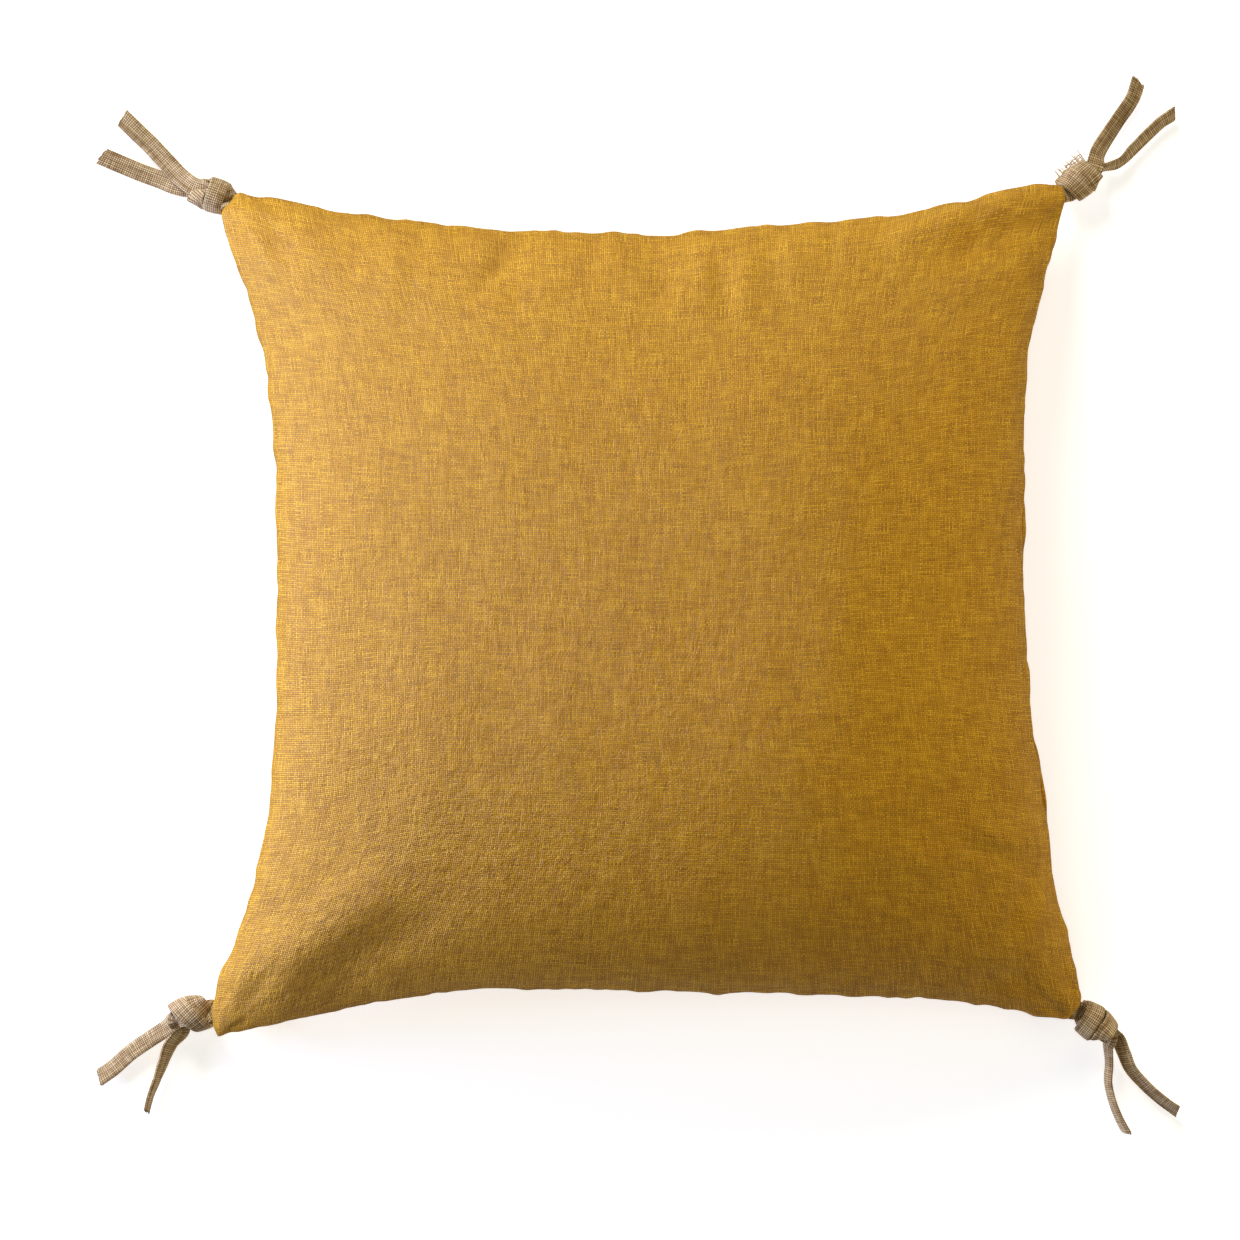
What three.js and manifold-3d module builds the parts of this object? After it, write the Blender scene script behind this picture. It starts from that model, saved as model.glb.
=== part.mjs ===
// A filled square linen cushion lying on its back, with a knotted tape tie at each corner.
// Millimetres and degrees. +Z is up, +X points to the cover's right side and +Y to its top side.
// The origin is on the surface that the cushion lies on, under the middle of the cover.
import * as THREE from 'three';
import { mergeGeometries, mergeVertices } from 'three/addons/utils/BufferGeometryUtils.js';
import Module from 'manifold-3d';

const wasm = await Module();
wasm.setup();

const gap = 0.3;
const shortestEdge = 0.05;

// Cover: where the seams of two neighbouring sides would meet if the corners were sharp.
const corners = {
  topLeft: { x: -228.5, y: 222.5 },
  topRight: { x: 224.5, y: 225 },
  bottomLeft: { x: -234, y: -226 },
  bottomRight: { x: 232, y: -219 },
};

// How far each seam is drawn in from the straight line between its two corners,
// at fractions of its length, from left to right or from bottom to top.
const stations = [0, 0.08, 0.17, 0.27, 0.38, 0.5, 0.62, 0.73, 0.83, 0.92, 1];
const drawnIn = {
  top: [0, 7.5, 17, 23, 28, 30, 26.5, 22.5, 15.5, 6.5, 0],
  bottom: [0, 6.5, 17, 24.5, 26, 24.5, 22, 20, 16, 8, 0],
  left: [0, 10.5, 25.5, 35.5, 38.5, 38.5, 37.5, 34.5, 26.5, 12, 0],
  right: [0, 7.5, 17, 22.5, 29.5, 32, 31, 29.5, 24, 11.5, 0],
};

// The filling lifts the seam off the surface at mid-side and lets it droop at the corners.
const seamHeight = { middle: 57, corner: 17, droop: 2.2 };
// How far each panel swells from the seam, and the shape of that swell: a broad top, rounded flanks.
const crown = { front: 71, back: 78, flatness: 2.3, rimPower: 0.56 };
const restBlend = 7;
const cornerEasing = 2;
const cellsAcross = 40;
const edgeCrowding = 0.45;

// The soft folds that show on the front: a row is one ridge, or a trough where its height is negative.
const softFolds = [
  { x: -72, y: 172, heading: 62, length: 55, width: 13, height: -3 },
  { x: -95, y: 176, heading: 60, length: 50, width: 12, height: 1.8 },
  { x: -20, y: 180, heading: 84, length: 38, width: 9, height: -2 },
  { x: 4, y: 182, heading: 90, length: 34, width: 9, height: 1.6 },
  { x: 148, y: 168, heading: 80, length: 60, width: 11, height: -2.2 },
  { x: 172, y: 172, heading: 76, length: 60, width: 11, height: 1.8 },
  { x: -178, y: -168, heading: 48, length: 70, width: 12, height: -2.4 },
  { x: -162, y: -182, heading: 46, length: 60, width: 11, height: 2 },
  { x: 172, y: -170, heading: 128, length: 70, width: 13, height: -2.2 },
  { x: -176, y: 160, heading: 132, length: 70, width: 13, height: 2 },
];

// Ties: a folded tape is caught by its middle in the corner seam, so two strands come out of it. Both are
// tied together in one overhand knot hard against the cover and end in two cut tails.
const tape = { width: 9.7, thick: 2.2, edge: 0.7, exit: 18, rooted: 2 };
// How far the tape lies from the knot's own axis inside it, upwards and aside, and where it goes in.
// The wraps slope towards the knot's ends like the staves of a barrel.
const knot = {
  core: 2.2,
  aside: 2.6,
  entry: 9,
  slope: 0.35,
  taper: 0.08,
  foldSteps: 4,
  wrapSteps: 10,
  coreSides: 24,
  coreBeyond: 3.5,
};
const linkLength = 3.5;

// end: the middle of the cover's blunt corner and the way that it faces. lay: the knot's middle and the
// way that it heads, with its roll about that heading. wraps: how far they reach each way, their radius
// and how they lean along the heading. tails: each strand's way from the knot to its cut end, with roll
// the turn of the tape's flat side away from level.
const ties = [
  {
    name: 'tie_top_left',
    end: { x: -219.5, y: 212.6, facing: 138 },
    lay: { x: -227.1, y: 217.9, z: 10.5, heading: 156, roll: 305 },
    wraps: { reach: 6.6, radius: 7, lean: 0.15 },
    tails: [
      [
        { x: -244.7, y: 227.3, z: 7, roll: 0 },
        { x: -252.5, y: 235.3, z: 3.5, roll: 0 },
        { x: -261.6, y: 245, z: 1.7, roll: 0 },
        { x: -269.6, y: 252.7, z: 1.7, roll: 0 },
        { x: -276.7, y: 259.6, z: 1.7, roll: 0 },
      ],
      [
        { x: -247.5, y: 223.2, z: 5, roll: 0 },
        { x: -256.7, y: 226.9, z: 2.6, roll: 0 },
        { x: -268.5, y: 231.3, z: 1.7, roll: 0 },
        { x: -278.5, y: 235.5, z: 1.7, roll: 0 },
        { x: -287.8, y: 239.5, z: 1.7, roll: 0 },
      ],
    ],
  },
  {
    name: 'tie_top_right',
    end: { x: 220, y: 219.2, facing: 30 },
    lay: { x: 228.3, y: 225.2, z: 10.5, heading: 41, roll: 62 },
    wraps: { reach: 6, radius: 6.4, lean: 0.1 },
    tails: [
      [
        { x: 237.9, y: 240.7, z: 9.5, roll: 26 },
        { x: 241.9, y: 247.4, z: 6.5, roll: 32 },
        { x: 249.1, y: 258.2, z: 4.6, roll: 38 },
        { x: 257.1, y: 270.5, z: 4.5, roll: 38 },
        { x: 259.8, y: 278.7, z: 4.5, roll: 36 },
      ],
      [
        { x: 241.8, y: 233, z: 8, roll: 74 },
        { x: 249.5, y: 235.4, z: 6.5, roll: 66 },
        { x: 256.8, y: 242.4, z: 5.6, roll: 56 },
        { x: 264.4, y: 250, z: 5.4, roll: 54 },
        { x: 272.3, y: 257.3, z: 5.4, roll: 54 },
        { x: 278.6, y: 261.4, z: 5.4, roll: 52 },
      ],
    ],
  },
  {
    name: 'tie_bottom_left',
    end: { x: -227.5, y: -215, facing: 196 },
    lay: { x: -238.2, y: -212.9, z: 11.8, heading: 197, roll: 195 },
    wraps: { reach: 6, radius: 7.8, lean: -0.4 },
    tails: [
      [
        { x: -252, y: -220.2, z: 8, roll: 26 },
        { x: -261.8, y: -226.8, z: 5, roll: 30 },
        { x: -272.7, y: -234.4, z: 4, roll: 30 },
        { x: -281, y: -241.8, z: 4, roll: 30 },
        { x: -288.7, y: -247.3, z: 4, roll: 28 },
      ],
      [
        { x: -244.9, y: -221.8, z: 8, roll: -36 },
        { x: -250.8, y: -229.5, z: 6.2, roll: -50 },
        { x: -255.1, y: -240, z: 5.8, roll: -62 },
        { x: -258.4, y: -248.9, z: 6, roll: -72 },
        { x: -261.8, y: -257.9, z: 6, roll: -78 },
        { x: -263.5, y: -264.8, z: 6, roll: -80 },
      ],
    ],
  },
  {
    name: 'tie_bottom_right',
    end: { x: 224.8, y: -211.5, facing: -32 },
    lay: { x: 235.6, y: -218, z: 11, heading: -40, roll: 20 },
    wraps: { reach: 6.8, radius: 7.3, lean: 0.1 },
    tails: [
      [
        { x: 243.4, y: -230.5, z: 7.5, roll: 68 },
        { x: 244.2, y: -239.8, z: 6.2, roll: 74 },
        { x: 243.7, y: -249.5, z: 6, roll: 74 },
        { x: 245.5, y: -258.3, z: 6, roll: 74 },
        { x: 248.9, y: -267.4, z: 6, roll: 72 },
        { x: 253.2, y: -275.7, z: 6, roll: 70 },
      ],
      [
        { x: 247.1, y: -225, z: 8, roll: 44 },
        { x: 251.7, y: -233.5, z: 6.4, roll: 50 },
        { x: 255.2, y: -241.9, z: 5.6, roll: 54 },
        { x: 261.6, y: -249.6, z: 5.6, roll: 56 },
        { x: 268.8, y: -256.4, z: 5.6, roll: 56 },
        { x: 275.5, y: -261.7, z: 5.6, roll: 56 },
        { x: 280.4, y: -265.1, z: 5.6, roll: 54 },
      ],
    ],
  },
];

const linen = new THREE.MeshStandardMaterial({ color: 0xb8842a, roughness: 0.9, metalness: 0 });
const jute = new THREE.MeshStandardMaterial({ color: 0x9b825e, roughness: 0.92, metalness: 0 });

// A smooth curve through a table of stations and values, flat-ended like a drawn spline.
function throughTable(values) {
  const slopes = values.map((value, i) => {
    const before = Math.max(i - 1, 0);
    const after = Math.min(i + 1, values.length - 1);
    return (values[after] - values[before]) / (stations[after] - stations[before]);
  });
  return (t) => {
    let i = 0;
    while (i < stations.length - 2 && t > stations[i + 1]) {
      i += 1;
    }
    const span = stations[i + 1] - stations[i];
    const s = (t - stations[i]) / span;
    const rise = s * s * (3 - 2 * s);
    const pushFromStart = s * (1 - s) * (1 - s) * span * slopes[i];
    const pushFromEnd = s * s * (s - 1) * span * slopes[i + 1];
    return values[i] + (values[i + 1] - values[i]) * rise + pushFromStart + pushFromEnd;
  };
}

const insetOf = {
  top: throughTable(drawnIn.top),
  bottom: throughTable(drawnIn.bottom),
  left: throughTable(drawnIn.left),
  right: throughTable(drawnIn.right),
};

// A point of one seam: t runs from corner a to corner b, and inward is to the side given.
function seamPoint(a, b, inset, side, t) {
  const length = Math.hypot(b.x - a.x, b.y - a.y);
  const along = { x: (b.x - a.x) / length, y: (b.y - a.y) / length };
  const depth = inset(t) * side;
  return {
    x: a.x + (b.x - a.x) * t - along.y * depth,
    y: a.y + (b.y - a.y) * t + along.x * depth,
  };
}

// Each corner is blunt where the tape passes the seam: what lies past the end is eased back to it.
function bluntCorners(point) {
  const eased = { ...point };
  for (const { end } of ties) {
    const facing = THREE.MathUtils.degToRad(end.facing);
    const out = { x: Math.cos(facing), y: Math.sin(facing) };
    const past = (eased.x - end.x) * out.x + (eased.y - end.y) * out.y;
    const excess = cornerEasing * Math.log1p(Math.exp(past / cornerEasing));
    eased.x -= out.x * excess;
    eased.y -= out.y * excess;
  }
  return eased;
}

// The place in plan of a point of the cover, with u from left to right and v from bottom to top, -1 to 1.
function planPoint(u, v) {
  const s = (u + 1) / 2;
  const r = (v + 1) / 2;
  const { topLeft, topRight, bottomLeft, bottomRight } = corners;
  const top = seamPoint(topLeft, topRight, insetOf.top, -1, s);
  const bottom = seamPoint(bottomLeft, bottomRight, insetOf.bottom, 1, s);
  const left = seamPoint(bottomLeft, topLeft, insetOf.left, -1, r);
  const right = seamPoint(bottomRight, topRight, insetOf.right, 1, r);
  const blend = (axis) => (1 - r) * bottom[axis] + r * top[axis] + (1 - s) * left[axis] + s * right[axis]
    - (1 - r) * ((1 - s) * bottomLeft[axis] + s * bottomRight[axis])
    - r * ((1 - s) * topLeft[axis] + s * topRight[axis]);
  return bluntCorners({ x: blend('x'), y: blend('y') });
}

function seamLevel(u, v) {
  const towardsCorner = Math.abs(u * v) ** seamHeight.droop;
  return seamHeight.middle - (seamHeight.middle - seamHeight.corner) * towardsCorner;
}

// 0 at the seam and 1 at the middle of the panel: a broad top with rounded flanks.
function fullness(u, v) {
  const across = 1 - Math.abs(u) ** crown.flatness;
  const down = 1 - Math.abs(v) ** crown.flatness;
  return Math.max(across * down, 0) ** crown.rimPower;
}

function foldHeight(point) {
  let height = 0;
  for (const fold of softFolds) {
    const heading = THREE.MathUtils.degToRad(fold.heading);
    const dx = point.x - fold.x;
    const dy = point.y - fold.y;
    const along = (dx * Math.cos(heading) + dy * Math.sin(heading)) / (fold.length / 2);
    const across = (dy * Math.cos(heading) - dx * Math.sin(heading)) / (fold.width / 2);
    height += fold.height * Math.exp(-(along ** 4) - across ** 2);
  }
  return height;
}

// The back settles on the surface: what would pass through it is flat there, with a soft turn.
function settled(z) {
  if (z >= restBlend) {
    return z;
  }
  return z <= -restBlend ? 0 : (z + restBlend) ** 2 / (4 * restBlend);
}

function coverPoint(u, v, face) {
  const point = planPoint(u, v);
  const full = fullness(u, v);
  const level = seamLevel(u, v);
  if (face === 'front') {
    return { ...point, z: level + crown.front * full + foldHeight(point) * Math.min(1, 2 * full) };
  }
  return { ...point, z: settled(level - crown.back * full) };
}

// The cells of a panel's grid, each split by the diagonal that points to its own corner of the cover.
function cellFaces() {
  const faces = [];
  const half = cellsAcross / 2;
  for (let row = 0; row < cellsAcross; row += 1) {
    for (let column = 0; column < cellsAcross; column += 1) {
      const a = row * (cellsAcross + 1) + column;
      const b = a + cellsAcross + 1;
      const c = b + 1;
      const d = a + 1;
      const falling = (row < half) === (column < half);
      faces.push(...(falling ? [a, b, c, a, c, d] : [a, b, d, b, c, d]));
    }
  }
  return faces;
}

// One panel as a grid whose cells are smaller towards the seams.
function panelGeometry(face) {
  const geometry = new THREE.PlaneGeometry(2, 2, cellsAcross, cellsAcross);
  const position = geometry.attributes.position;
  const crowd = (t) => (1 - edgeCrowding) * t + edgeCrowding * Math.sin(t * Math.PI / 2);
  for (let i = 0; i < position.count; i += 1) {
    const { x, y, z } = coverPoint(crowd(position.getX(i)), crowd(position.getY(i)), face);
    position.setXYZ(i, x, y, z);
  }
  geometry.setIndex(face === 'back' ? cellFaces().reverse() : cellFaces());
  return geometry;
}

// Only positions are kept, so that neighbouring faces share their vertices.
function welded(geometry) {
  geometry.deleteAttribute('normal');
  geometry.deleteAttribute('uv');
  return mergeVertices(geometry, 1e-3);
}

function cushionGeometry() {
  return welded(mergeGeometries([panelGeometry('front'), panelGeometry('back')]));
}

// The section of a tape lying flat: a thin band with softened edges.
function tapeSection() {
  const half = tape.width / 2;
  const rise = tape.thick / 2;
  const shoulder = half - tape.edge;
  return [[half, 0], [shoulder, rise], [-shoulder, rise], [-half, 0], [-shoulder, -rise], [shoulder, -rise]];
}

// Half an overhand knot that heads along X: the doubled tape runs in along the core, is folded over at an
// angle and wraps round it. Each row is a place and the way that the tape's outer face looks.
function halfKnot({ reach, radius }) {
  const { core, aside } = knot;
  const down = new THREE.Vector3(0, 0, -1);
  const slant = new THREE.Vector3(1, -1, 0).normalize();
  const foldFrom = reach - core * Math.PI / Math.SQRT2;
  const rows = [{ place: new THREE.Vector3(-knot.entry / 2, -aside / 2, core), face: down }];
  for (let i = 0; i <= knot.foldSteps; i += 1) {
    const turn = Math.PI * i / knot.foldSteps;
    const along = core * (turn + Math.sin(turn)) / Math.SQRT2;
    const over = core * (turn - Math.sin(turn)) / Math.SQRT2;
    rows.push({
      place: new THREE.Vector3(foldFrom + along, over - aside, core * (2 - Math.cos(turn))),
      face: slant.clone().multiplyScalar(Math.sin(turn)).addScaledVector(down, Math.cos(turn)),
    });
  }
  const start = Math.atan2(aside, 3 * core);
  const middle = Math.PI * 1.5;
  for (let i = 1; i <= knot.wrapSteps; i += 1) {
    const angle = THREE.MathUtils.lerp(start, middle, i / knot.wrapSteps);
    const off = 1 - i / knot.wrapSteps;
    const out = new THREE.Vector3(0, Math.sin(angle), Math.cos(angle));
    const place = out.clone().multiplyScalar(radius * (1 - knot.taper * off * off));
    place.x = reach * off;
    rows.push({ place, face: out.setX(knot.slope * off).normalize() });
  }
  return rows;
}

// A knot looks the same turned end for end, so its second half is the first one turned. The tape lies flat
// where it goes in and comes out.
function wholeKnot({ lay, wraps }) {
  const roll = THREE.MathUtils.degToRad(lay.roll);
  const axis = new THREE.Vector3(1, 0, 0);
  const first = halfKnot(wraps);
  const turned = first.slice(0, -1).reverse().map(({ place, face }) => ({
    place: new THREE.Vector3(-place.x, place.y, -place.z),
    face: new THREE.Vector3(-face.x, face.y, -face.z),
  }));
  const rows = [...first, ...turned].map(({ place, face }) => {
    const rolled = place.clone().applyAxisAngle(axis, roll);
    rolled.x += wraps.lean * rolled.y;
    return { place: rolled, face: face.clone().applyAxisAngle(axis, roll) };
  });
  const level = (x, { face }) => ({
    place: new THREE.Vector3(x, 0, 0),
    face: new THREE.Vector3(0, 0, Math.sign(face.z)),
  });
  return [level(-knot.entry, rows[0]), ...rows, level(knot.entry, rows[rows.length - 1])];
}

function tailRows(tail, side) {
  const up = new THREE.Vector3(0, 0, 1);
  const places = tail.map(({ x, y, z }) => new THREE.Vector3(x, y, z));
  return places.map((place, i) => {
    const along = places[Math.min(i + 1, places.length - 1)].clone()
      .sub(places[Math.max(i - 1, 0)]).normalize();
    const level = up.clone().cross(along).normalize();
    const face = along.clone().cross(level).applyAxisAngle(along, THREE.MathUtils.degToRad(tail[i].roll));
    return { place, face: face.multiplyScalar(side) };
  });
}

function wayOut(end) {
  const facing = THREE.MathUtils.degToRad(end.facing);
  return new THREE.Vector3(Math.cos(facing), Math.sin(facing), 0);
}

// Where one strand runs, from the seam at the cover's corner through the knot to its cut end. The two
// strands lie on each other, so each is half a thickness to its own side of the doubled tape.
function strandRows(tie, strand) {
  const { end, lay, tails } = tie;
  const layer = (0.5 - strand) * tape.thick;
  const heading = THREE.MathUtils.degToRad(lay.heading);
  const up = new THREE.Vector3(0, 0, 1);
  const middle = new THREE.Vector3(lay.x, lay.y, lay.z);
  const knotted = wholeKnot(tie).map(({ place, face }) => ({
    place: place.clone().addScaledVector(face, layer).applyAxisAngle(up, heading).add(middle),
    face: face.clone().applyAxisAngle(up, heading),
  }));
  const face = up.clone().multiplyScalar(Math.sign(knotted[0].face.z));
  const start = new THREE.Vector3(end.x, end.y, tape.exit).addScaledVector(face, layer)
    .addScaledVector(wayOut(end), -tape.rooted);
  const side = Math.sign(knotted[knotted.length - 1].face.z);
  return [{ place: start, face }, ...knotted, ...tailRows(tails[strand], side)];
}

// One smooth curve through the rows, at even steps, as frames with the ways along and out of the tape.
function smoothFrames(rows) {
  const chords = [0];
  for (let i = 1; i < rows.length; i += 1) {
    chords.push(chords[i - 1] + rows[i].place.distanceTo(rows[i - 1].place));
  }
  const slopes = rows.map((row, i) => {
    const before = Math.max(i - 1, 0);
    const after = Math.min(i + 1, rows.length - 1);
    return rows[after].place.clone().sub(rows[before].place).divideScalar(chords[after] - chords[before]);
  });
  const length = chords[chords.length - 1];
  const steps = Math.round(length / linkLength);
  const frames = [];
  for (let step = 0; step <= steps; step += 1) {
    const at = length * step / steps;
    let i = 0;
    while (i < rows.length - 2 && at > chords[i + 1]) {
      i += 1;
    }
    const span = chords[i + 1] - chords[i];
    const s = (at - chords[i]) / span;
    const centre = rows[i].place.clone().lerp(rows[i + 1].place, s * s * (3 - 2 * s))
      .addScaledVector(slopes[i], span * s * (1 - s) ** 2)
      .addScaledVector(slopes[i + 1], span * s * s * (s - 1));
    const along = rows[i + 1].place.clone().sub(rows[i].place).multiplyScalar(6 * s * (1 - s) / span)
      .addScaledVector(slopes[i], (1 - s) * (1 - 3 * s))
      .addScaledVector(slopes[i + 1], s * (3 * s - 2)).normalize();
    const out = rows[i].face.clone().lerp(rows[i + 1].face, s * s * (3 - 2 * s));
    out.addScaledVector(along, -out.dot(along)).normalize();
    frames.push({ centre, across: out.clone().cross(along), out });
  }
  return frames;
}

// A strand as links, each the convex body between two neighbouring sections of the tape.
function strandLinks(tie, strand) {
  const section = tapeSection();
  const rings = smoothFrames(strandRows(tie, strand)).map(({ centre, across, out }) => section.map(
    ([side, rise]) => centre.clone().addScaledVector(across, side).addScaledVector(out, rise).toArray(),
  ));
  return rings.slice(1).map((ring, i) => wasm.Manifold.hull([...rings[i], ...ring]));
}

// The packed middle of the knot, which the wraps hide.
function knotCore({ lay, wraps }) {
  const { radius } = wraps;
  return wasm.Manifold.sphere(1, knot.coreSides).scale([wraps.reach + knot.coreBeyond, radius, radius])
    .rotate([0, 0, lay.heading]).translate([lay.x, lay.y, lay.z]);
}

// How far the cover reaches in the direction given.
function coverReach(out) {
  const { position } = cushion.geometry.attributes;
  const place = new THREE.Vector3();
  let reach = 0;
  for (let i = 0; i < position.count; i += 1) {
    reach = Math.max(reach, place.fromBufferAttribute(position, i).dot(out));
  }
  return reach;
}

// Joins both strands and the core into one closed skin that ends just off the cover's blunt corner; the
// pockets that they shut in between them are filled.
function tieGeometry(tie) {
  const links = [knotCore(tie), ...[0, 1].flatMap((strand) => strandLinks(tie, strand))];
  const out = wayOut(tie.end);
  const whole = wasm.Manifold.union(links).trimByPlane(out.toArray(), coverReach(out) + gap)
    .simplify(shortestEdge);
  const skin = whole.decompose().reduce((a, b) => (a.volume() > b.volume() ? a : b));
  const { vertProperties, triVerts } = skin.getMesh();
  const geometry = new THREE.BufferGeometry();
  geometry.setAttribute('position', new THREE.BufferAttribute(vertProperties, 3));
  geometry.setIndex(new THREE.BufferAttribute(triVerts, 1));
  return geometry;
}

const cushion = new THREE.Mesh(cushionGeometry(), linen);
cushion.name = 'cushion';

const group = new THREE.Group();
group.add(cushion);
for (const tie of ties) {
  const mesh = new THREE.Mesh(tieGeometry(tie), jute);
  mesh.name = tie.name;
  group.add(mesh);
}

export default group;
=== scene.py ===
import math

import bpy
import numpy as np
from mathutils import Matrix, Vector


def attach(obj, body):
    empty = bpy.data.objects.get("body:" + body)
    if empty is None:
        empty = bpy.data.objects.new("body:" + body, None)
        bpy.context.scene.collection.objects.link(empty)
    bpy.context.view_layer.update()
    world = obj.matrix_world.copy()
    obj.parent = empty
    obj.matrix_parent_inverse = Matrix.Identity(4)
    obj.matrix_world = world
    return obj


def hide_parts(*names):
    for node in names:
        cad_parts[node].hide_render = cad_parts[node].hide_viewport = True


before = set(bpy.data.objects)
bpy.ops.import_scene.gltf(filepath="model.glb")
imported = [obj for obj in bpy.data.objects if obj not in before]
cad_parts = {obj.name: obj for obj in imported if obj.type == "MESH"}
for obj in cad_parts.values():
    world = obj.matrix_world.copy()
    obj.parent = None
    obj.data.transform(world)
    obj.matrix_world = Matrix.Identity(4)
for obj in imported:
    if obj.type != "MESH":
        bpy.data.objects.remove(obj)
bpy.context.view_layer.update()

MM = 0.001

# Cover: where the seams of two neighbouring sides would meet if the corners were sharp.
CORNERS = {
    "top_left": (-0.2285, 0.2225),
    "top_right": (0.2245, 0.225),
    "bottom_left": (-0.234, -0.226),
    "bottom_right": (0.232, -0.219),
}
# How far each seam is drawn in from the straight line between its corners, in millimetres,
# at fractions of its length, from left to right or from bottom to top.
STATIONS = (0, 0.08, 0.17, 0.27, 0.38, 0.5, 0.62, 0.73, 0.83, 0.92, 1)
DRAWN_IN = {
    "top": (0, 7.5, 17, 23, 28, 30, 26.5, 22.5, 15.5, 6.5, 0),
    "bottom": (0, 6.5, 17, 24.5, 26, 24.5, 22, 20, 16, 8, 0),
    "left": (0, 10.5, 25.5, 35.5, 38.5, 38.5, 37.5, 34.5, 26.5, 12, 0),
    "right": (0, 7.5, 17, 22.5, 29.5, 32, 31, 29.5, 24, 11.5, 0),
}
# The seam sinks from the middle of a side to the corners, and the panels swell above and below it.
SEAM_HEIGHT = {"middle": 0.057, "corner": 0.017, "droop": 2.2}
CROWN = {"front": 0.071, "back": 0.078, "flatness": 2.3, "rim_power": 0.56}
# The back turns softly into its flat patch over the first of these heights, and what would lie past a
# blunt corner is eased back to it over the second. Each panel is a 45 cm square when it is flat.
REST_BLEND = 0.007
CORNER_EASING = 0.002
FLAT_SIDE = 0.45

# Ties: a folded tape is caught by its middle in the corner seam, so two strands come out of it. Both are
# tied together in one overhand knot, whose route is worked out for one half and turned end for end.
# The tape's section is a lens whose sides are rounded folds: the powers set how square they are.
TAPE = {
    "width": 0.0097,
    "thick": 0.0022,
    "side_power": 0.55,
    "face_power": 0.75,
    "exit": 0.018,
    "sewn_in": 0.002,
}
# In the knot, core and aside are how far the run through its middle lies off its axis, entry is how far out
# the tape goes in and comes out, and barrel and taper round off the wraps towards its ends.
KNOT = {"core": 0.0022, "aside": 0.0026, "entry": 0.009, "barrel": 0.35, "taper": 0.08}

# Each tie: end is the blunt corner of the cover and the way it faces, lay the knot's middle and heading.
# The knot is rolled about its heading, and its wraps lean along it; reach and wrap are its half length and
# half width. The tails are each strand's way to its cut end, with the roll of the tape's flat side.
TIES = {
    "top_left": {
        "end": (-0.2195, 0.2126, 138),
        "lay": (-0.2271, 0.2179, 0.0105, 156),
        "knot": {"roll": 305, "lean": 0.15, "reach": 0.0066, "wrap": 0.007},
        "tails": (
            (
                (-0.2447, 0.2273, 0.007, 0),
                (-0.2525, 0.2353, 0.0035, 0),
                (-0.2616, 0.2450, 0.0017, 0),
                (-0.2696, 0.2527, 0.0017, 0),
                (-0.2767, 0.2596, 0.0017, 0),
            ),
            (
                (-0.2475, 0.2232, 0.005, 0),
                (-0.2567, 0.2269, 0.0026, 0),
                (-0.2685, 0.2313, 0.0017, 0),
                (-0.2785, 0.2355, 0.0017, 0),
                (-0.2878, 0.2395, 0.0017, 0),
            ),
        ),
    },
    "top_right": {
        "end": (0.220, 0.2192, 30),
        "lay": (0.2283, 0.2252, 0.0105, 41),
        "knot": {"roll": 62, "lean": 0.1, "reach": 0.006, "wrap": 0.0064},
        "tails": (
            (
                (0.2379, 0.2407, 0.0095, 26),
                (0.2419, 0.2474, 0.0065, 32),
                (0.2491, 0.2582, 0.0046, 38),
                (0.2571, 0.2705, 0.0045, 38),
                (0.2598, 0.2787, 0.0045, 36),
            ),
            (
                (0.2418, 0.2330, 0.008, 74),
                (0.2495, 0.2354, 0.0065, 66),
                (0.2568, 0.2424, 0.0056, 56),
                (0.2644, 0.2500, 0.0054, 54),
                (0.2723, 0.2573, 0.0054, 54),
                (0.2786, 0.2614, 0.0054, 52),
            ),
        ),
    },
    "bottom_left": {
        "end": (-0.2275, -0.2150, 196),
        "lay": (-0.2382, -0.2129, 0.0118, 197),
        "knot": {"roll": 195, "lean": -0.4, "reach": 0.006, "wrap": 0.0078},
        "tails": (
            (
                (-0.2520, -0.2202, 0.008, 26),
                (-0.2618, -0.2268, 0.005, 30),
                (-0.2727, -0.2344, 0.004, 30),
                (-0.2810, -0.2418, 0.004, 30),
                (-0.2887, -0.2473, 0.004, 28),
            ),
            (
                (-0.2449, -0.2218, 0.008, -36),
                (-0.2508, -0.2295, 0.0062, -50),
                (-0.2551, -0.2400, 0.0058, -62),
                (-0.2584, -0.2489, 0.006, -72),
                (-0.2618, -0.2579, 0.006, -78),
                (-0.2635, -0.2648, 0.006, -80),
            ),
        ),
    },
    "bottom_right": {
        "end": (0.2248, -0.2115, -32),
        "lay": (0.2356, -0.2180, 0.011, -40),
        "knot": {"roll": 20, "lean": 0.1, "reach": 0.0068, "wrap": 0.0073},
        "tails": (
            (
                (0.2434, -0.2305, 0.0075, 68),
                (0.2442, -0.2398, 0.0062, 74),
                (0.2437, -0.2495, 0.006, 74),
                (0.2455, -0.2583, 0.006, 74),
                (0.2489, -0.2674, 0.006, 72),
                (0.2532, -0.2757, 0.006, 70),
            ),
            (
                (0.2471, -0.2250, 0.008, 44),
                (0.2517, -0.2335, 0.0064, 50),
                (0.2552, -0.2419, 0.0056, 54),
                (0.2616, -0.2496, 0.0056, 56),
                (0.2688, -0.2564, 0.0056, 56),
                (0.2755, -0.2617, 0.0056, 56),
                (0.2804, -0.2651, 0.0056, 54),
            ),
        ),
    },
}


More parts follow.
